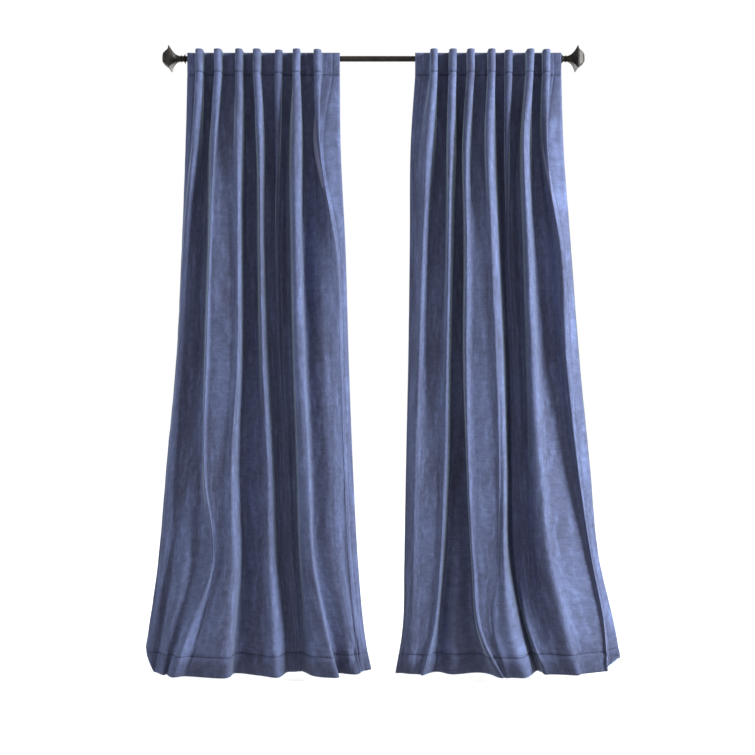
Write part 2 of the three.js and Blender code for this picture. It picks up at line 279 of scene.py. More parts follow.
RIGHT_PLAN = [
    (0.0, (129, 125, 120, 112, 106, 101, 76), (0, 0, 4, 8, 10, 10, 12)),
    (0.65, (159, 149, 135, 120, 115, 109, 91), (14, 16, 18, 22, 24, 24, 26)),
    (1.0, (188, 170, 156, 141, 134, 127, 117), (56, 46, 45, 48, 50, 50, 50)),
    (1.35, (215, 194, 183, 172, 161, 158, 141), (-8, 6, 20, 45, 50, 50, 50)),
    (1.65, (251, 239, 227, 219, 212, 195, 158), (-10, 0, 28, 53, 56, 54, 52)),
    (2.0, (261, 255, 249, 245, 228, 208, 171), (62, 62, 62, 62, 62, 60, 56)),
    (2.35, (284, 279, 273, 268, 254, 237, 228), (-12, -10, -8, -6, 0, 4, 8)),
    (2.5, (294, 292, 291, 290, 284, 271, 270), (-12, -10, -8, -2, 16, 34, 42)),
    (2.65, (306, 306, 304, 314, 324, 330, 350), (-10, -8, -4, 0, 4, 12, 18)),
    (3.0, (313, 313, 310, 317, 333, 353, 425), (60, 66, 72, 76, 80, 84, 90)),
    (3.35, (337, 337, 336, 339, 352, 369, 442), (10, 54, 64, 74, 80, 80, 87)),
    (3.65, (378, 380, 393, 409, 402, 399, 455), (12, 64, 74, 82, 86, 84, 91)),
    (4.0, (390, 404, 420, 427, 424, 422, 471), (64, 76, 84, 88, 90, 90, 94)),
    (4.2, (408, 422, 437, 445, 446, 474, 522), (40, 50, 62, 78, 90, 90, 91)),
    (4.35, (420, 433, 450, 458, 466, 507, 555), (-12, -8, -4, 0, 4, 10, 16)),
    (4.65, (447, 452, 469, 475, 485, 522, 576), (-12, -6, -2, 4, 8, 14, 18)),
    (5.0, (455, 461, 482, 490, 500, 524, 584), (28, 6, 4, 5, 9, 34, 50)),
    (5.35, (473, 476, 495, 505, 517, 540, 600), (-8, -4, 2, 7, 12, 32, 50)),
    (5.65, (504, 511, 521, 528, 541, 568, 620), (-8, -2, 6, 16, 22, 36, 52)),
    (5.8, (506, 514, 526, 536, 556, 594, 650), (52, 59, 63, 58, 50, 50, 58)),
    (6.0, (516, 529, 543, 560, 590, 638, 686), (60, 66, 72, 76, 78, 76, 68)),
    (6.35, (543, 558, 576, 598, 634, 684, 714), (-8, -4, 6, 36, 52, 50, 46)),
    (6.65, (571, 602, 625, 669, 726, 770, 783), (-8, -2, 6, 10, 18, 20, 22)),
    (7.0, (585, 623, 645, 694, 746, 786, 800), (50, 34, 33, 26, 22, 24, 24)),
    (7.7, (608, 657, 681, 715, 757, 801, 822), (8, 23, 22, 22, 18, 17, 16)),
    (8.0, (650, 677, 706, 743, 775, 823, 853), (-2, -4, -4, -4, 0, 2, 6)),
]
print("fold plans:", len(LEFT_PLAN), "and", len(RIGHT_PLAN), "crests, walls and valleys")

# %% The header's line and the panel's facts
FOLD_SHARE = (1, 1, 1, 1, 0.74, 1, 0.9)      # how deep each fold is, as a share of the deepest


def header_line(edges, folds):
    """The cloth's line seen from above, as x and distance forwards: flats at 0, and at each fold a small
    fillet, a straight wall, half a circle, a wall and a fillet. With it come the share of the run at each
    of its points and at each fold's front, and the whole run in metres."""
    radius = FOLD_RADIUS - HALF_SOLID
    fillet = 4 * MM
    turn = np.linspace(0, math.pi / 2, 7)
    half = np.linspace(math.pi, 0, 19)
    line = [np.array([[edges[0], 0.0]])]
    fronts = []
    for f, depth in zip(folds, np.array(FOLD_SHARE) * FOLD_DEPTH):
        into = np.stack([f - radius - fillet + fillet * np.sin(turn), fillet - fillet * np.cos(turn)], 1)
        front = np.stack([f + radius * np.cos(half), depth - radius + radius * np.sin(half)], 1)
        out = np.stack([2 * f - into[::-1, 0], into[::-1, 1]], 1)
        fronts.append(sum(map(len, line)) + len(into) + len(half) // 2)
        line += [into, front, out]
    line = np.concatenate(line + [np.array([[edges[1], 0.0]])])
    run = np.concatenate([[0], np.cumsum(np.linalg.norm(np.diff(line, axis=0), axis=1))])
    return line, run / run[-1], run[fronts] / run[-1], run[-1]


def describe_panel(side, plan, hem_rise, curl):
    """Everything the cloth function needs to know about one panel. The places that the plan's rows name are
    turned into shares of the header's run, and the header's own line becomes the plan's first height."""
    edges, folds = header_of(side)
    line, share, fronts, width = header_line(edges, folds)
    flats = (fronts[:-1] + fronts[1:]) / 2
    places = np.concatenate([[0, 0.5], np.arange(1, 8), np.arange(1, 7) + 0.5, [7.5, 8]])
    shares = np.concatenate([[0, fronts[0] * 0.2], fronts, flats, [1 - (1 - fronts[-1]) * 0.3, 1]])
    order = np.argsort(places)
    knots = np.interp([row[0] for row in plan], places[order], shares[order])
    header_x = np.interp(knots, share, line[:, 0])
    header_d = np.interp(knots, share, line[:, 1])
    plan_x = np.column_stack([header_x, ROD_MIDDLE + MM * np.array([row[1] for row in plan])])
    plan_d = np.column_stack([header_d, MM * np.array([row[2] for row in plan])])
    return dict(side=side, line=line, share=share, width=width, knots=knots, plan_x=plan_x, plan_d=plan_d,
                hem_rise=hem_rise, curl=curl, seed=11 if side == "left" else 23)


# Where the lower edge rides up (share across the cloth, millimetres), and which corner rolls back: the share
# it sits at, and how far the rolled part runs along the hem and up the side.
LEFT = describe_panel("left", LEFT_PLAN, hem_rise=((0, 0.5, 0.9, 1), (16, 8, 12, 24)),
                      curl=(0, 150 * MM, 100 * MM))
RIGHT = describe_panel("right", RIGHT_PLAN, hem_rise=((0, 0.1, 0.5, 0.93, 1), (8, 12, 8, 16, 40)),
                       curl=(1, 40 * MM, 40 * MM))
for panel in (LEFT, RIGHT):
    print(panel["side"], "cloth along the header", round(panel["width"], 3), "m")

# %% The cloth as a function of two parameters
def ripples(panel, across, down, drop):
    """Small departures from the plan, in metres forwards: slow swells, upright creases in the pile, puckers
    along the side seams, gathers just above the hem's seam, tucks and a pull at the header's, dents left by
    handling, and the doubled hem rolling under. Each is a size times soft noise, and a bell curve keeps it
    near its own seam or edge."""
    seed = panel["seed"]
    width = panel["width"]
    loose = smoothstep(drop / 0.15)
    swell = 3.0 * MM * soft_noise(across, down, 0.09, 0.55, seed) * loose
    crease = 0.8 * MM * soft_noise(across, down, 0.016, 0.35, seed + 1) * loose
    edge = np.minimum(across, width - across)
    from_hem = PANEL_LENGTH - HEM - down
    side_pucker = (1.2 + 4.2 * drop) * MM * soft_noise(across, down, 0.05, 0.034, seed + 2) \
        * np.exp(-(edge / 0.03) ** 2) * loose
    gather = 4.4 * MM * soft_noise(across, down, 0.034, 0.050, seed + 3) \
        * np.exp(-((from_hem - 0.01) / 0.06) ** 2)
    tuck = 1.7 * MM * soft_noise(across, down, 0.013, 0.2, seed + 4) \
        * np.exp(-((down - HEADER) / 0.022) ** 2)
    header_pull = 2.2 * MM * (1 - np.exp(-((down - HEADER) / 0.008) ** 2))
    handled = 0.7 * MM * soft_noise(across, down, 0.022, 0.045, seed + 6)
    hem_pull = -3.0 * MM * np.exp(-(from_hem / 0.009) ** 2)
    in_hem = np.clip(-from_hem / HEM, 0, 1)
    hem_roll = -(20 + 12 * soft_noise(across, down * 0, 0.085, 1.0, seed + 7)) * MM * in_hem ** 1.8
    return (swell + crease + side_pucker + gather + np.maximum(tuck, 0) + header_pull + hem_pull
            + hem_roll + handled)


def cloth(panel, s, v):
    """The middle of the cloth, as a grid of points. s is the share across (0 left, 1 right) and v the
    distance down from the top edge. Place = the spline through the fold plan, plus what the sewn header
    line adds to it, which fades out over the first quarter of the drop. Height = top edge minus v, plus
    the rise of the hem."""
    across, down = s[:, None] * panel["width"], v[None, :]
    drop = np.clip((v - HEADER) / (PANEL_LENGTH - HEADER), 0, 1)
    header_x = np.interp(s, panel["share"], panel["line"][:, 0])[:, None]
    header_d = np.interp(s, panel["share"], panel["line"][:, 1])[:, None]
    across_spline = spline_matrix(panel["knots"], s)
    down_spline = spline_matrix(PLAN_HEIGHTS, drop).T
    x = across_spline @ panel["plan_x"] @ down_spline
    d = across_spline @ panel["plan_d"] @ down_spline
    sewn = 1 - smoothstep(drop / 0.24)[None, :]
    lean = 1.6 * MM * soft_noise(across, down, 0.13, 0.08, panel["seed"] + 5) * header_d / FOLD_DEPTH
    x = x + (header_x - across_spline @ panel["plan_x"][:, :1] + lean) * sewn
    d = d + (header_d - across_spline @ panel["plan_d"][:, :1]) * sewn
    d = d + ripples(panel, across, down, drop[None, :])
    rise = np.interp(s, panel["hem_rise"][0], panel["hem_rise"][1])[:, None] * MM
    in_hem = smoothstep((v - (PANEL_LENGTH - HEM)) / HEM)[None, :]
    z = PANEL_TOP - down + rise * (0.5 * drop[None, :] ** 2 + 0.5 * in_hem)
    grid = np.stack([x, FLAT_Y - d, np.broadcast_to(z, x.shape)], -1)
    return rolled_corner(panel, grid, across, down)


def rolled_corner(panel, grid, across, down):
    """A lower corner rolled backwards about a slanting line: a point q past the line goes to radius times
    sin(q / radius) past it, and radius times (1 - cos(q / radius)) behind it."""
    side, along, up = panel["curl"]
    radius = 17 * MM
    from_side = across if side == 0 else panel["width"] - across
    from_hem = PANEL_LENGTH - down
    slope = np.hypot(along, up)
    q = np.maximum(0, (along * up - from_side * up - from_hem * along) / slope)
    outwards = np.array([(-1 if side == 0 else 1) * 0.62 * up, -0.25 * up, -along]) / slope
    outwards = outwards / np.linalg.norm(outwards)
    back = np.array([0, 1, 0])
    slide = (radius * np.sin(q / radius) - q)[..., None] * outwards
    lift = (radius * (1 - np.cos(np.minimum(q / radius, math.pi))))[..., None] * back
    return grid + slide + lift


def facing(grid):
    """Unit normals of a grid of cloth points, towards the room."""
    normal = np.cross(np.gradient(grid, axis=1), np.gradient(grid, axis=0))
    return normal / np.linalg.norm(normal, axis=-1, keepdims=True)


# %% [markdown]
# ## Thickness, hems and seams
# The velvet is a thin closed sheet with a front and a back. The header, the hem and the side hems are turned
# over and sewn, so there the sheet is thicker, with a shallow groove where the thread pulls it in. Grid lines
# are packed close where the thickness changes and far apart in the long plain middle.

# %% The grid and the sheet's thickness
GROOVE_DEPTH = 1.3 * MM         # how far the thread pulls the cloth in
GROOVE_WIDTH = 2.3 * MM         # how far to either side of the thread the groove is felt


def packed(lines, spacing, start, stop):
    """Values from start to stop at most spacing apart, with extra ones close to each seam line."""
    extra = [line + offset * MM for line in lines for offset in (-5, -2.2, -1, 0, 1, 2.2, 5)]
    even = np.linspace(start, stop, int((stop - start) / spacing) + 2)
    values = np.concatenate([even, extra, [start, stop]])
    values = np.unique(np.round(values[(values >= start) & (values <= stop)], 5))
    keep = np.concatenate([[True], np.diff(values) > 0.7 * MM])
    return values[keep]


def folded_layers(panel, s, v):
    """Extra thickness and seam grooves as two grids, in metres: header and side hems one more layer, the hem
    two more; each groove a narrow dip along its line of thread."""
    across, down = s[:, None] * panel["width"], v[None, :]
    edge = np.minimum(across, panel["width"] - across)
    step = 1.5 * MM
    header = smoothstep((HEADER - down) / step)
    hem = smoothstep((down - (PANEL_LENGTH - HEM)) / step)
    side = smoothstep((SIDE_HEM - edge) / step)
    layers = np.maximum(np.maximum(0.5 * MM * header, 1.5 * MM * hem), 0.7 * MM * side)
    groove = np.zeros_like(layers)
    for distance in (down - HEADER, down - (PANEL_LENGTH - HEM), edge - SIDE_HEM):
        groove = np.maximum(groove, np.exp(-(distance / GROOVE_WIDTH) ** 2))
    return layers, GROOVE_DEPTH * groove


def sheet_sides(panel, s, v):
    """Front and back grids of the closed sheet."""
    middle = cloth(panel, s, v)
    normal = facing(middle)
    layers, groove = folded_layers(panel, s, v)
    front = middle + normal * (SHEET / 2 + layers / 2 - groove)[..., None]
    back = middle - normal * (SHEET / 2 + layers / 2 - 0.4 * groove)[..., None]
    return front, back


def closed_sheet(front, back):
    """Points and faces of a thin closed sheet: the front grid, the back grid and the four edges between."""
    rows, columns = front.shape[:2]
    number = np.arange(rows * columns).reshape(rows, columns)
    a, b, c, d = number[:-1, :-1], number[:-1, 1:], number[1:, 1:], number[1:, :-1]
    face = np.stack([a, b, c, d], -1).reshape(-1, 4)
    rim = np.concatenate([number[:, 0], number[-1, 1:], number[-2::-1, -1], number[0, -2:0:-1]])
    after = np.roll(rim, -1)
    behind = rows * columns
    edge = np.stack([rim, after, after + behind, rim + behind], -1)
    points = np.concatenate([front.reshape(-1, 3), back.reshape(-1, 3)])
    slots = np.concatenate([np.zeros(len(face)), np.ones(len(face)), np.zeros(len(edge))])
    return points, np.concatenate([face, face[:, ::-1] + behind, edge]), slots


# %% [markdown]
# ## Velvet, backing and thread
# Velvet is a short upright pile, so it is darkest seen straight on and palest at a glancing angle, and it
# keeps the marks of every hand that brushed it. The shader's sheen gives the glancing light. Stretched noise
# on the cloth's own map, which runs in metres across and down, gives brushed patches, fine slubs along the
# weft and the grain of the pile. Because the map follows the cloth, the marks bend with the folds.

# %% A helper for node materials
def node_material(name, **settings):
    """A material with its Principled shader, whose named inputs are set; returns material, nodes, shader and
    a function that adds a node with its inputs and properties."""
    material = bpy.data.materials.new(name)
    material.use_nodes = True
    tree = material.node_tree
    shader = tree.nodes["Principled BSDF"]
    for key, value in settings.items():
        shader.inputs[key.replace("_", " ")].default_value = value

    def add(kind, inputs=None, **properties):
        node = tree.nodes.new(kind)
        for key, value in properties.items():
            setattr(node, key, value)
        for key, value in (inputs or {}).items():
            if isinstance(value, bpy.types.NodeSocket):
                tree.links.new(value, node.inputs[key])
            else:
                node.inputs[key].default_value = value
        return node

    return material, tree, shader, add


def colour(red, green, blue):
    """An opaque colour for a socket."""
    return (red, green, blue, 1)


def stretched_noise(add, coordinates, across, down, detail=3.0, roughness=0.55):
    """Noise whose cells number across per metre one way and down per metre the other."""
    mapping = add("ShaderNodeMapping", {"Vector": coordinates, "Scale": (across, down, across)})
    noise = add("ShaderNodeTexNoise", {"Vector": mapping.outputs[0], "Scale": 1.0, "Detail": detail,
                                       "Roughness": roughness})
    return noise.outputs["Fac"]


def mixed(add, factor, first, second, blend="MIX"):
    """A colour mix; factor, first and second are sockets or values."""
    node = add("ShaderNodeMix", data_type="RGBA", blend_type=blend)
    tree = node.id_data
    for index, value in ((0, factor), (6, first), (7, second)):
        if isinstance(value, bpy.types.NodeSocket):
            tree.links.new(value, node.inputs[index])
        else:
            node.inputs[index].default_value = value
    return node.outputs[2]


def ranged(add, value, from_low, from_high, to_low, to_high):
    """A value moved in proportion from one range to another, and held at the ends."""
    node = add("ShaderNodeMapRange", {"Value": value, "From Min": from_low, "From Max": from_high,
                                      "To Min": to_low, "To Max": to_high})
    return node.outputs[0]


# %% Velvet
def velvet_material():
    """Dusty navy velvet: brushed patches, upright marks, weft slubs, pile grain, and painted shade along
    every seam and over the turned-up hem, which also lowers the sheen there."""
    material, tree, shader, add = node_material("velvet", Roughness=0.85, Sheen_Weight=1.0,
                                                Sheen_Roughness=0.22, Sheen_Tint=colour(0.60, 0.79, 1.0),
                                                Specular_IOR_Level=0.15)
    uv = add("ShaderNodeUVMap", uv_map="cloth").outputs[0]
    patches = stretched_noise(add, uv, 11, 3.2, 5.0, 0.62)
    marks = stretched_noise(add, uv, 60, 9, 4.0, 0.62)
    crush = stretched_noise(add, uv, 70, 48, 5.0, 0.74)
    slubs = stretched_noise(add, uv, 16, 170, 3.0, 0.6)
    grain = stretched_noise(add, uv, 900, 900, 1.0, 0.5)
    deep, mid, pale = colour(0.052, 0.060, 0.108), colour(0.074, 0.093, 0.178), colour(0.122, 0.158, 0.300)
    base = mixed(add, ranged(add, patches, 0.34, 0.66, 0.0, 1.0), deep, mid)
    base = mixed(add, ranged(add, marks, 0.50, 0.76, 0.0, 0.6), base, pale)
    shade = add("ShaderNodeMath", {0: ranged(add, slubs, 0.3, 0.7, 0.94, 1.06),
                                   1: ranged(add, grain, 0.3, 0.7, 0.9, 1.1)}, operation="MULTIPLY")
    shade = add("ShaderNodeMath", {0: shade.outputs[0], 1: ranged(add, crush, 0.32, 0.68, 0.76, 1.24)},
                operation="MULTIPLY")
    base = mixed(add, 1.0, base, shade.outputs[0], "MULTIPLY")
    # Painted shade: where the panel's attribute is high, along the seams and over the turned-up hem, the
    # colour is mixed towards near-black and the sheen is lowered, standing in for the shadow in the seam
    # grooves and on the hem.
    painted_shade = add("ShaderNodeAttribute", attribute_name="painted_shade").outputs["Fac"]
    base = mixed(add, ranged(add, painted_shade, 0.1, 1.0, 0.0, 0.7), base, colour(0.012, 0.013, 0.026))
    tree.links.new(base, shader.inputs["Base Color"])
    tree.links.new(ranged(add, painted_shade, 0.1, 1.0, 1.0, 0.35), shader.inputs["Sheen Weight"])
    tree.links.new(ranged(add, patches, 0.3, 0.7, 0.95, 0.75), shader.inputs["Roughness"])
    height = add("ShaderNodeMath", {0: grain, 1: slubs}, operation="ADD")
    height = add("ShaderNodeMath", {0: height.outputs[0], 1: crush}, operation="ADD")
    bump = add("ShaderNodeBump", {"Height": height.outputs[0], "Strength": 0.5, "Distance": 0.0014})
    tree.links.new(bump.outputs[0], shader.inputs["Normal"])
    return material


# %% Backing and thread
def woven_material(name, dark, light, threads=1400):
    """A plain close weave: two wave patterns crossing, with slubs."""
    material, tree, shader, add = node_material(name, Roughness=0.9, Sheen_Weight=0.25, Sheen_Roughness=0.5,
                                                Specular_IOR_Level=0.2)
    uv = add("ShaderNodeUVMap", uv_map="cloth").outputs[0]
    warp = add("ShaderNodeTexWave", {"Vector": uv, "Scale": threads / 20, "Distortion": 0.6},
               bands_direction="X")
    weft = add("ShaderNodeTexWave", {"Vector": uv, "Scale": threads / 20, "Distortion": 0.6},
               bands_direction="Y")
    weave = add("ShaderNodeMath", {0: warp.outputs["Fac"], 1: weft.outputs["Fac"]}, operation="MULTIPLY")
    slubs = stretched_noise(add, uv, 60, 300, 2.0, 0.5)
    clouds = stretched_noise(add, uv, 5, 3, 2.0, 0.5)
    base = mixed(add, ranged(add, clouds, 0.3, 0.7, 0.2, 0.8), dark, light)
    base = mixed(add, ranged(add, weave.outputs[0], 0.0, 1.0, 0.35, 0.0), base, colour(0.02, 0.025, 0.06))
    base = mixed(add, ranged(add, slubs, 0.5, 0.8, 0.0, 0.35), base, light)
    tree.links.new(base, shader.inputs["Base Color"])
    tree.links.new(ranged(add, slubs, 0.3, 0.7, 0.85, 0.97), shader.inputs["Roughness"])
    bump = add("ShaderNodeBump", {"Height": weave.outputs[0], "Strength": 0.35, "Distance": 0.0004})
    tree.links.new(bump.outputs[0], shader.inputs["Normal"])
    return material


def thread_material():
    """Twisted sewing thread, a little darker than the pile it sinks into."""
    material, tree, shader, add = node_material("thread", Roughness=0.55, Specular_IOR_Level=0.35)
    place = add("ShaderNodeTexCoord").outputs["Object"]
    twist = add("ShaderNodeTexWave", {"Vector": place, "Scale": 900.0, "Distortion": 1.0},
                bands_direction="DIAGONAL")
    base = mixed(add, twist.outputs["Fac"], colour(0.020, 0.024, 0.055), colour(0.055, 0.064, 0.13))
    tree.links.new(base, shader.inputs["Base Color"])
    bump = add("ShaderNodeBump", {"Height": twist.outputs["Fac"], "Strength": 0.4, "Distance": 0.0002})
    tree.links.new(bump.outputs[0], shader.inputs["Normal"])
    return material


VELVET = velvet_material()
BACKING = woven_material("backing", colour(0.115, 0.130, 0.235), colour(0.175, 0.192, 0.315))
THREAD = thread_material()
print("fabric materials:", VELVET.name, BACKING.name, THREAD.name)

# %% [markdown]
# ## The two panels
# Each panel is one piece of cloth on the real thing, so it is one sheet here, though the frame moves it in
# eight slices. The sheet stays where it is made, with its placing baked into its mesh.

# %% Make the panels
def drawn_with(piece):
    """Bakes a piece's placing into its mesh and returns it."""
    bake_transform(piece)
    return piece


COLUMN_STEP = 4.9 * MM          # between the grid's upright lines
TOP_STEP = 5.5 * MM             # between its level lines near the top
MIDDLE_STEP = 17.5 * MM         # between them in the long plain middle
HEM_STEP = 6.5 * MM             # between them near the hem
FINE_TOP = 0.13                 # how far down the close lines at the top go
FINE_HEM = 0.16                 # how far above the lower edge they start again
PAINTED_SHADE_SIDE = 0.3              # how dark the painted shade along the side hems' seams is, against the header's and the hem's
PAINTED_SHADE_HEM = 0.36              # how dark the painted shade over the turned-up hem is


def make_panel(panel):
    """One panel's sheet, with its map in metres and an attribute of painted shade: near 1 along the header's
    and the hem's seam lines, less along the side seams and over the turned-up hem, 0 elsewhere. 1 where
    thread crushes the pile flat, 0 where it stands."""
    side, width = panel["side"], panel["width"]
    s = packed([SIDE_HEM, width - SIDE_HEM], COLUMN_STEP, 0, width) / width
    fine_top = packed([HEADER], TOP_STEP, 0, FINE_TOP)
    middle = np.arange(FINE_TOP + 10 * MM, PANEL_LENGTH - FINE_HEM - 10 * MM, MIDDLE_STEP)
    fine_hem = packed([PANEL_LENGTH - HEM], HEM_STEP, PANEL_LENGTH - FINE_HEM, PANEL_LENGTH)
    v = np.concatenate([fine_top, middle, fine_hem])
    front, back = sheet_sides(panel, s, v)
    points, faces, slots = closed_sheet(front, back)
    uv = np.stack(np.broadcast_arrays(s[:, None] * width, -v[None, :]), -1).reshape(-1, 2)
    piece = new_piece(f"{side}_curtain_panel", points, [faces], [VELVET, BACKING],
                      np.concatenate([uv, uv]), slots)
    # Painted shade: dark lines along the header's and the hem's seams, fainter ones along the side seams, and
    # a darker turned-up hem, standing in for the shadow in the seam grooves and on the hem.
    along_edge = np.minimum(s, 1 - s)[:, None] * width < 1.6 * SIDE_HEM
    groove = folded_layers(panel, s, v)[1] / GROOVE_DEPTH
    to_seam = np.minimum(np.abs(v - HEADER), np.abs(v - PANEL_LENGTH + HEM))
    seam = np.exp(-(to_seam / GROOVE_WIDTH) ** 2)[None, :]
    painted_shade = np.where(along_edge, np.maximum(seam, PAINTED_SHADE_SIDE * groove), groove)
    painted_shade *= 0.85 + 0.15 * soft_noise(s[:, None] * width, 0 * v[None, :], 0.02, 1.0, panel["seed"] + 8)
    turned_up = smoothstep((v - (PANEL_LENGTH - HEM)) / (2 * MM))[None, :]
    painted_shade = np.maximum(painted_shade, PAINTED_SHADE_HEM * turned_up).ravel()
    layer = piece.data.attributes.new("painted_shade", "FLOAT", "POINT")
    layer.data.foreach_set("value", np.concatenate([painted_shade, painted_shade]))
    drawn_with(piece)
    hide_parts(*[f"{side}_pleat_{k}" for k in range(1, 9)])
    print(piece.name, "grid", len(s), "x", len(v), "triangles", 2 * len(piece.data.polygons))
    return piece


curtain = {panel["side"]: make_panel(panel) for panel in (LEFT, RIGHT)}

# %% [markdown]
# ## Stitches
# A lockstitch shows on the face as a row of short threads that dip at each end. One stitch is a small
# rounded bar; it is repeated along each seam, lying on the cloth and turned to follow it.

# %% One stitch, and rows of them
def bar_shape(length, radius, around=6):
    """A rounded bar along its own x: rings whose radius grows and shrinks as a half ellipse."""
    along = np.array([-1, -0.82, -0.4, 0.4, 0.82, 1]) * length / 2
    radii = radius * np.array([0.25, 0.8, 1, 1, 0.8, 0.25])
    angle = np.arange(around) * 2 * math.pi / around
    rings = np.stack(np.broadcast_arrays(along[:, None], radii[:, None] * np.cos(angle),
                                         radii[:, None] * np.sin(angle)), -1)
    return ring_stack(rings)


STITCH = 4.4 * MM               # from one stitch to the next
STITCH_SHAPE = bar_shape(3.5 * MM, 0.42 * MM)


def unit(vectors):
    """Each row of vectors at length 1."""
    return vectors / np.linalg.norm(vectors, axis=1, keepdims=True)


def seam_row(name, panel, s, v):
    """A row of stitches along a line of the cloth, where either s or v is a single value. The cloth's
    directions at each stitch are differences between points half a millimetre to either side."""
    middle_s, middle_v = np.atleast_1d(s), np.atleast_1d(v)
    step = 0.5 * MM
    share = step / panel["width"]

    def moved(by_s, by_v):
        return cloth(panel, np.clip(middle_s + by_s, 0, 1), middle_v + by_v).reshape(-1, 3)

    place = moved(0, 0)
    across = moved(share, 0) - moved(-share, 0)
    down = moved(0, step) - moved(0, -step)
    normal = unit(np.cross(down, across))
    along = unit(across if len(middle_s) > 1 else down)
    layers, groove = folded_layers(panel, middle_s, middle_v)
    lift = (SHEET / 2 + layers / 2 - groove + 0.25 * MM).reshape(-1, 1)
    places = np.stack([place + normal * lift, along, np.cross(normal, along), normal], 1)
    points, faces = swarm(*STITCH_SHAPE, places)
    piece = new_piece(name, points, faces, [THREAD])
    drawn_with(piece)
    return len(places)


for panel in (LEFT, RIGHT):
    side, width = panel["side"], panel["width"]
    run_s = np.arange(0.006, width - 0.006, STITCH) / width
    run_v = np.arange(HEADER + 0.006, PANEL_LENGTH - 0.006, STITCH)
    outer_s, inner_s = SIDE_HEM / width, 1 - SIDE_HEM / width
    if side == "right":
        outer_s, inner_s = inner_s, outer_s
    counts = [seam_row(f"{side}_header_seam", panel, run_s, HEADER),
              seam_row(f"{side}_hem_seam", panel, run_s, PANEL_LENGTH - HEM),
              seam_row(f"{side}_side_seam_outer", panel, outer_s, run_v),
              seam_row(f"{side}_side_seam_inner", panel, inner_s, run_v)]
    print(side, "stitches in each seam", counts)

# %% [markdown]
# ## Back tabs
# A back tab is a short strip sewn to the top edge and to the pocket seam behind the panel, and the rod runs
# through the loop. It is a flat band with soft edges carried along the loop's side view.

# %% Make the tabs
BODY_OF = {node: body for body, nodes in frame["record"]["behaviour"]["bodies"].items() for node in nodes}
TAB_THICKNESS = 1.5 * MM


def tab_line():
    """The loop from the side, as y and z: from the top edge over the rod, round its back, and straight down
    to the pocket seam, touching the circle it leaves."""
    radius = OUTER_RADIUS + 0.65 * MM + TAB_THICKNESS / 2
    front = CLOTH_BACK + 0.55 * MM + TAB_THICKNESS / 2
    top = np.array([front, PANEL_TOP - 2.5 * MM])
    bottom = np.array([front, PANEL_TOP - HEADER + 4.5 * MM])
    turn = np.linspace(math.radians(92), math.radians(-20), 22)
    arc = np.stack([ROD_Y + radius * np.cos(turn), ROD_Z + radius * np.sin(turn)], 1)
    rise = top + (arc[0] - top) * np.linspace(0, 0.9, 5)[:, None]
    fall = arc[-1] + (bottom - arc[-1]) * np.linspace(0.05, 1, 14)[:, None]
    return np.concatenate([rise, arc, fall])


def band(line, x, width, thickness, corners=6):
    """A band carried along a line in the y-z plane: at each point its section is a rectangle with round
    edges, width along x and thickness across the line."""
    along = np.gradient(line, axis=0)
    along /= np.linalg.norm(along, axis=1, keepdims=True)
    across = np.stack([along[:, 1], -along[:, 0]], 1)
    turn = np.linspace(-math.pi / 2, math.pi / 2, corners)
    half = thickness / 2
    right = np.stack([width / 2 - half + half * np.cos(turn), half * np.sin(turn)], 1)
    section = np.concatenate([right, -right])
    rings = np.empty((len(line), len(section), 3))
    rings[..., 0] = x + section[:, 0]
    rings[..., 1:] = line[:, None] + across[:, None] * section[None, :, 1:]
    run = np.concatenate([[0], np.cumsum(np.linalg.norm(np.diff(line, axis=0), axis=1))])
    uv = np.stack(np.broadcast_arrays(section[:, 0], run[:, None]), -1).reshape(-1, 2)
    return rings, np.concatenate([uv, uv[:1], uv[-1:]])


tab_low, tab_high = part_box("left_back_tab_1")
TAB_WIDTH = tab_high[0] - tab_low[0]
for side in ("left", "right"):
    for k in range(1, 9):
        node = f"{side}_back_tab_{k}"
        rings, uv = band(tab_line(), centre(node)[0], TAB_WIDTH, TAB_THICKNESS)
        points, faces = ring_stack(rings)
        tab = new_piece(f"{side}_tab_{k}", points, faces, [BACKING], uv)
        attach(tab, BODY_OF[node])
        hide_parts(node)
print("tabs are", round(TAB_WIDTH * 1000), "mm wide")

# %% [markdown]
# ## Dark bronze and plated steel
# The rod and finials are steel and cast metal under a satin dark bronze coat. A coat like that is never even:
# it is a little warmer where it is thin, smoother where hands have rubbed it, and very finely orange-peeled.

# %% Metal materials
def metal_material(name, dark, light, roughness, metallic, wear=0.0, grain=900.0):
    """A coated or plated metal: cloudy colour, uneven gloss and a fine surface grain."""
    material, tree, shader, add = node_material(name, Metallic=metallic, Specular_IOR_Level=0.3)
    place = add("ShaderNodeTexCoord").outputs["Object"]
    clouds = stretched_noise(add, place, 34, 34, 4.0, 0.6)
    fine = stretched_noise(add, place, grain, grain, 2.0, 0.5)
    base = mixed(add, ranged(add, clouds, 0.3, 0.7, 0.0, 1.0), dark, light)
    base = mixed(add, ranged(add, fine, 0.62, 0.8, 0.0, wear), base, colour(0.22, 0.17, 0.12))
    tree.links.new(base, shader.inputs["Base Color"])
    gloss = ranged(add, clouds, 0.25, 0.75, roughness - 0.07, roughness + 0.08)
    tree.links.new(gloss, shader.inputs["Roughness"])
    bump = add("ShaderNodeBump", {"Height": fine, "Strength": 0.12, "Distance": 0.0003})
    tree.links.new(bump.outputs[0], shader.inputs["Normal"])
    return material


BRONZE = metal_material("dark_bronze", colour(0.013, 0.0115, 0.0105), colour(0.028, 0.025, 0.022),
                        roughness=0.42, metallic=0.6, wear=0.3)
PLATED = metal_material("zinc_plate", colour(0.42, 0.42, 0.43), colour(0.60, 0.60, 0.60),
                        roughness=0.34, metallic=1.0)
print("metal materials:", BRONZE.name, PLATED.name)

# %% [markdown]
# ## Rod and finials
# The two tubes are turned shapes, so a profile of radius against distance, swept round the rod's axis, is
# all they need. The finial starts round at its neck and ends square. A superellipse does that in one
# surface: its exponent is 2 for a circle and grows until the section is a square with crisp corners.

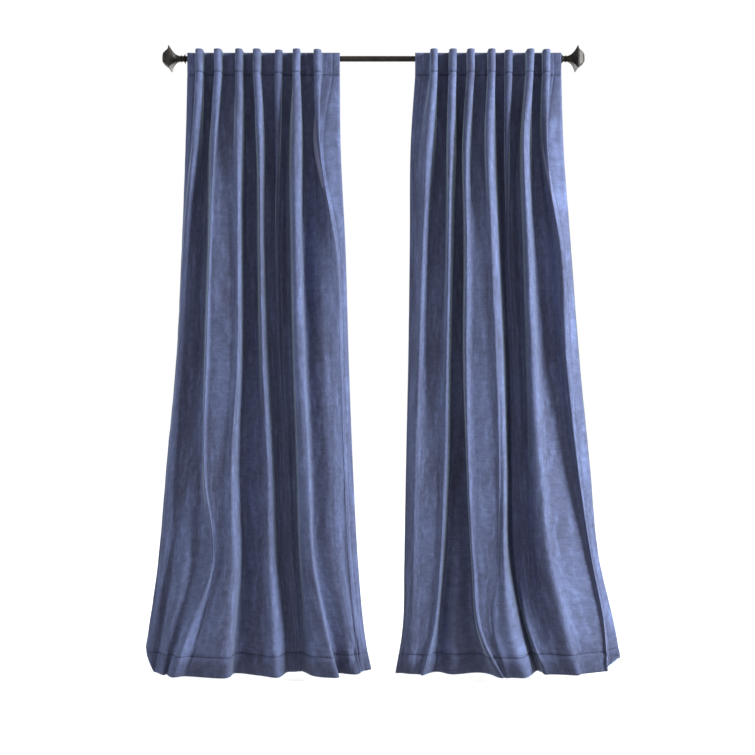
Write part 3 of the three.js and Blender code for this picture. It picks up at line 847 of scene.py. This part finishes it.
# %% Turned and lofted shapes along the rod
def loft_along_x(stations, direction, start_x, around=64):
    """Rings about the rod's axis from stations of (distance, half size, exponent). A point at angle a is at
    half size times (|cos a|^e + |sin a|^e)^(-1/e) from the axis, e being the exponent."""
    distance, half, exponent = np.array(stations, float).T
    angle = (np.arange(around) + 0.5) * 2 * math.pi / around
    cos, sin = np.abs(np.cos(angle)), np.abs(np.sin(angle))
    e = exponent[:, None]
    radius = half[:, None] * (cos ** e + sin ** e) ** (-1 / e)
    x = np.broadcast_to((start_x + direction * distance)[:, None], radius.shape)
    return np.stack([x, ROD_Y + radius * np.cos(angle), ROD_Z + radius * np.sin(angle)], -1)


def tube(name, start_x, end_x, radius, wall, soften=0.4 * MM):
    """An open tube with softened ends: its profile goes along the outside and back along the bore."""
    inner = radius - wall
    profile = [(start_x, inner + soften), (start_x, radius - soften), (start_x + soften, radius)]
    profile += [(x, radius) for x in np.linspace(start_x + 4 * MM, end_x - 4 * MM, 12)]
    profile += [(end_x - soften, radius), (end_x, radius - soften), (end_x, inner + soften),
                (end_x - soften, inner)]
    profile += [(x, inner) for x in np.linspace(end_x - 4 * MM, start_x + 4 * MM, 6)]
    profile += [(start_x + soften, inner)]
    rings = loft_along_x([(x, r, 2) for x, r in profile], 1, 0)
    points, faces = ring_stack(rings, closed=True)
    return new_piece(name, points, faces, [BRONZE])


outer_rod = tube("outer_rod", outer_low[0], outer_high[0], OUTER_RADIUS, 1 * MM)
inner_rod = tube("inner_rod", inner_low[0], inner_high[0], INNER_RADIUS, 1 * MM)
for piece, node in ((outer_rod, "outer_tube"), (inner_rod, "inner_tube")):
    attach(piece, BODY_OF[node])
    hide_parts(node)


def finial_stations(length, square):
    """Seat, cove, bead, neck, four concave faces that flare to the square plate, its stepped front and a
    blunt dome. Distances in metres from the collar. Along the flare, t goes from 0 to 1: the half size is
    the neck's, plus the rest times (0.16 t + 0.84 t^2.7), and the exponent is 2 + 20 t^1.2."""
    half = square / 2
    neck_end, neck_radius, flare = 17 * MM, 9.5 * MM, 32 * MM
    round_part = [(0, 12.6), (0.4, 13.4), (1.1, 13.4), (2.0, 12.0), (3.4, 10.5), (5.2, 9.7), (7.5, 9.5),
                  (9.6, 9.6), (10.4, 10.6), (11.3, 11.6), (12.5, 11.9), (13.7, 11.6), (14.6, 10.6),
                  (15.4, 9.7), (17.0, 9.5)]
    stations = [(d * MM, r * MM, 2.0) for d, r in round_part]
    for t in np.linspace(0.06, 1, 22):
        size = neck_radius + (half - neck_radius) * (0.16 * t + 0.84 * t ** 2.7)
        stations.append((neck_end + t * flare, size, 2 + 20 * t ** 1.2))
    plate = [(49.5, 1.0), (51.4, 1.0), (51.9, 0.985), (52.3, 0.95), (54.2, 0.80), (54.6, 0.785),
             (57.6, 0.745), (57.9, 0.73), (58.2, 0.70), (61.5, 0.665), (61.8, 0.64), (65.5, 0.605),
             (65.8, 0.58), (69.5, 0.52), (72.5, 0.45), (75.0, 0.35), (76.8, 0.22), (77.6, 0.10)]
    stations += [(d * MM, half * share, 24.0) for d, share in plate]
    stations += [(length - 0.1 * MM, half * 0.03, 6.0), (length, half * 0.008, 4.0)]
    return stations


for side, direction in (("left", -1), ("right", 1)):
    low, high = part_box(f"{side}_finial")
    seat = high[0] if side == "left" else low[0]
    stations = finial_stations(high[0] - low[0], high[2] - low[2])
    points, faces = ring_stack(loft_along_x(stations, direction, seat, around=128))
    finial = new_piece(f"{side}_square_finial", points, faces, [BRONZE])
    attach(finial, BODY_OF[f"{side}_finial"])
    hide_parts(f"{side}_finial")
    sharp = finial.modifiers.new("crisp_edges", "EDGE_SPLIT")
    sharp.split_angle = math.radians(38)
    low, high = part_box(f"{side}_finial_collar")
    seat = high[0] if side == "left" else low[0]
    radius = (high[2] - low[2]) / 2
    thick = high[0] - low[0]
    bore = 3.3 * MM
    rim = [(0, bore), (0, radius - 0.6 * MM), (0.2 * MM, radius - 0.2 * MM), (0.6 * MM, radius),
           (thick - 0.6 * MM, radius), (thick - 0.2 * MM, radius - 0.2 * MM), (thick, radius - 0.6 * MM),
           (thick, bore)]
    points, faces = ring_stack(loft_along_x([(d, r, 2) for d, r in rim], direction, seat), closed=True)
    collar = new_piece(f"{side}_collar", points, faces, [BRONZE])
    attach(collar, BODY_OF[f"{side}_finial_collar"])
    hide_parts(f"{side}_finial_collar")
print("finials and collars made")

# %% [markdown]
# ## Brackets, screws and the hidden fittings
# Pressed brackets have softly rolled edges. Their solids already have the right shape, so a copy of each is
# cleaned into flat faces and given a small bevel. The knob and the screw heads are made afresh, because
# knurling and a cross slot are what make them look like hardware.

# %% Softened copies of the pressed pieces
def softened(node, name, material, bevel):
    """A copy of a CAD node with its triangles merged into flat faces and its edges bevelled."""
    mesh = frame["nodes"][node].data.copy()
    mesh.name = name
    mesh.materials.clear()
    mesh.materials.append(material)
    piece = bpy.data.objects.new(name, mesh)
    bpy.context.scene.collection.objects.link(piece)
    work = bmesh.new()
    work.from_mesh(mesh)
    bmesh.ops.remove_doubles(work, verts=work.verts, dist=0.02 * MM)
    bmesh.ops.dissolve_limit(work, angle_limit=math.radians(1), verts=work.verts, edges=work.edges)
    work.to_mesh(mesh)
    work.free()
    edge = piece.modifiers.new("rolled_edges", "BEVEL")
    edge.width = bevel
    edge.segments = 3
    edge.limit_method = "ANGLE"
    edge.angle_limit = math.radians(40)
    mesh.polygons.foreach_set("use_smooth", np.ones(len(mesh.polygons), bool))
    normals = piece.modifiers.new("even_normals", "WEIGHTED_NORMAL")
    normals.keep_sharp = True
    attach(piece, BODY_OF[node])
    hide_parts(node)
    return piece


for side in ("left", "right"):
    softened(f"{side}_wall_plate", f"{side}_plate", BRONZE, 0.6 * MM)
    softened(f"{side}_bracket_arm", f"{side}_arm", BRONZE, 0.5 * MM)

# %% Knurled knobs and cross-slot screws
def knob(side):
    """The thumb screw: radius against height, the knob's waves being a share of a cosine round it."""
    low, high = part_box(f"{side}_thumb_screw")
    middle = centre(f"{side}_thumb_screw")
    radius, height = (high[0] - low[0]) / 2, high[2] - low[2]
    shank = 1.95 * MM
    profile = [(0, 0.55, 0), (0.2, 0.86, 0), (0.6, 0.97, 0.3), (1.0, 1, 1), (5.0, 1, 1), (5.4, 0.97, 0.3),
               (5.8, 0.86, 0), (6.0, 0.55, 0)]
    around = 96
    angle = np.arange(around) * 2 * math.pi / around
    wave = 0.035 * np.cos(24 * angle)
    rings = [(low[2] + z * MM, radius * (r - 0.035 * k + k * wave)) for z, r, k in profile]
    rings += [(low[2] + z, np.full(around, shank - (0.12 * MM if i % 2 else 0)))
              for i, z in enumerate(np.arange(6.2 * MM, height - 0.3 * MM, 0.35 * MM))]
    rings.append((high[2], np.full(around, shank - 0.5 * MM)))
    grid = np.array([np.stack([middle[0] + r * np.cos(angle), middle[1] + r * np.sin(angle),
                               np.full(around, z)], -1) for z, r in rings])
    points, faces = ring_stack(grid)
    piece = new_piece(f"{side}_knob", points, faces, [BRONZE])
    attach(piece, BODY_OF[f"{side}_thumb_screw"])
    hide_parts(f"{side}_thumb_screw")


def pan_head_screw(side, place):
    """A pan-head screw pointing into the wall. The head's rings sink where two crossing slots are; the
    shank's radius ripples like a thread."""
    node = f"{side}_wall_screw_{place}"
    low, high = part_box(node)
    x, _, z = centre(node)
    radius = (high[0] - low[0]) / 2
    around = 64
    angle = np.arange(around) * 2 * math.pi / around
    head = 2.4 * MM
    rings = []
    for share in (0.08, 0.2, 0.3, 0.4, 0.5, 0.6, 0.75, 0.9, 0.97):
        across, up = share * radius * np.cos(angle), share * radius * np.sin(angle)
        dome = head * (1 - 0.45 * share ** 2.5)
        slot_depth = 1.1 * MM * smoothstep((0.56 - share) / 0.1) * smoothstep(
            (0.55 * MM - np.minimum(np.abs(across), np.abs(up))) / (0.25 * MM))
        rings.append((low[1] + (head - dome) + slot_depth, share * radius))
    rings += [(np.full(around, low[1] + head * 0.75), radius),
              (np.full(around, low[1] + head), radius * 0.98),
              (np.full(around, low[1] + head + 0.01 * MM), 1.9 * MM)]
    for i, y in enumerate(np.arange(low[1] + head + 0.6 * MM, high[1] - 5 * MM, 0.8 * MM)):
        rings.append((np.full(around, y), 1.95 * MM if i % 2 else 1.55 * MM))
    rings += [(np.full(around, high[1] - 2.5 * MM), 0.9 * MM), (np.full(around, high[1]), 0.05 * MM)]
    grid = np.array([np.stack([x + r * np.cos(angle), np.broadcast_to(y, angle.shape),
                               z + r * np.sin(angle)], -1) for y, r in rings])
    points, faces = ring_stack(grid)
    piece = new_piece(f"{side}_screw_{place}", points, faces, [PLATED])
    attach(piece, BODY_OF[node])
    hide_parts(node)


for side in ("left", "right"):
    knob(side)
    for place in ("upper", "lower"):
        pan_head_screw(side, place)
    for node in (f"{side}_finial_stud", f"{side}_tube_insert"):
        frame["nodes"][node].data.materials.clear()
        frame["nodes"][node].data.materials.append(PLATED)
print("plates, arms, knobs and screws made")

# %% [markdown]
# ## Floor, light and camera
# The room is a plain pale studio. Even light would flatten the folds, so most of it comes from one side: a
# large key lamp stands to the right and in front, with a smaller one below it that grazes the cloth. On the
# left a cool rim lamp picks out the folds' other edges and a weak one fills, and one behind lights the backs.
# The camera stands level, about four metres away, at about the middle of the panels' height.

# %% Stage
FLOOR_REACH = 14.0              # from the rod's middle to the floor's edge
FLOOR_GAP = 12 * MM             # from the lower edge of the panels' solids down to the floor
floor_z = PANEL_TOP - PANEL_LENGTH - FLOOR_GAP
floor_mesh = bpy.data.meshes.new("floor")
corners = [(ROD_MIDDLE + a * FLOOR_REACH, ROD_Y + b * FLOOR_REACH, floor_z)
           for a, b in ((-1, -1), (1, -1), (1, 1), (-1, 1))]
floor_mesh.from_pydata(corners, [], [(0, 1, 2, 3)])
floor = bpy.data.objects.new("floor", floor_mesh)
bpy.context.scene.collection.objects.link(floor)
floor_material, floor_tree, floor_shader, add = node_material("pale_floor", Roughness=0.9,
                                                               Emission_Color=colour(1, 1, 1),
                                                               Emission_Strength=0.72)
floor_noise = stretched_noise(add, add("ShaderNodeTexCoord").outputs["Object"], 3, 3)
floor_tree.links.new(mixed(add, floor_noise, colour(0.38, 0.40, 0.43), colour(0.42, 0.44, 0.47)),
                     floor_shader.inputs["Base Color"])
floor_mesh.materials.append(floor_material)
floor.visible_diffuse = False           # its own brightness must not light the cloth from below
floor.visible_glossy = False

world = bpy.data.worlds.new("studio")
bpy.context.scene.world = world
world.use_nodes = True
tree = world.node_tree
light_path = tree.nodes.new("ShaderNodeLightPath")
seen = tree.nodes.new("ShaderNodeBackground")
seen.inputs["Color"].default_value = colour(1, 1, 1)
seen.inputs["Strength"].default_value = 1.0
lit = tree.nodes["Background"]
lit.inputs["Color"].default_value = colour(1.0, 0.93, 0.90)
lit.inputs["Strength"].default_value = 0.78
mix = tree.nodes.new("ShaderNodeMixShader")
tree.links.new(light_path.outputs["Is Camera Ray"], mix.inputs[0])
tree.links.new(lit.outputs[0], mix.inputs[1])
tree.links.new(seen.outputs[0], mix.inputs[2])
tree.links.new(mix.outputs[0], tree.nodes["World Output"].inputs["Surface"])
print("floor at", round(floor_z, 4))


def soft_lamp(name, place, aim, size, power, tint=(1, 1, 1)):
    """A square area lamp at place, turned to face aim; both are offsets from the rod's middle."""
    lamp = bpy.data.lights.new(name, "AREA")
    lamp.shape = "SQUARE"
    lamp.size = size
    lamp.energy = power
    lamp.color = tint
    holder = bpy.data.objects.new(name, lamp)
    bpy.context.scene.collection.objects.link(holder)
    origin = Vector((ROD_MIDDLE, ROD_Y, ROD_Z))
    holder.location = origin + Vector(place)
    holder.rotation_euler = (Vector(aim) - Vector(place)).to_track_quat("-Z", "Y").to_euler()


soft_lamp("key", (5.3, -2.6, 0.9), (0, 0, -0.9), 1.5, 900, (0.93, 0.96, 0.98))
soft_lamp("graze", (4.8, -1.0, -0.2), (0, 0, -0.9), 1.0, 230, (0.88, 0.94, 0.98))
soft_lamp("rim", (-3.6, -0.9, -0.7), (0, 0, -1.1), 1.2, 60, (0.72, 0.86, 1.0))
soft_lamp("fill", (-2.8, -3.6, -0.4), (0, 0, -1.1), 2.4, 14)
soft_lamp("back", (0.5, 3.4, 0.6), (0, 0, -1.0), 2.5, 60)

# %% Camera
FOCAL_SHARE = 1192 / 755        # focal length over the width of the frame: a field of 35 degrees
STAND_OFF = 4.1                 # from the rod, forwards
BELOW_ROD = 1.096
RIGHT_OF_MIDDLE = 14 * MM
camera_data = bpy.data.cameras.new("camera")
camera_data.sensor_width = 36
camera_data.lens = FOCAL_SHARE * camera_data.sensor_width
camera = bpy.data.objects.new("camera", camera_data)
bpy.context.scene.collection.objects.link(camera)
camera.location = (ROD_MIDDLE + RIGHT_OF_MIDDLE, ROD_Y - STAND_OFF, ROD_Z - BELOW_ROD)
camera.rotation_euler = (math.radians(90), 0, 0)
bpy.context.scene.camera = camera
bpy.context.scene.view_settings.view_transform = "Standard"
print("lens", round(camera_data.lens, 2), "mm, camera at", np.round(camera.location, 3).tolist())

# %% [markdown]

# %% Finish
for panel in (LEFT, RIGHT):
    side = panel["side"]
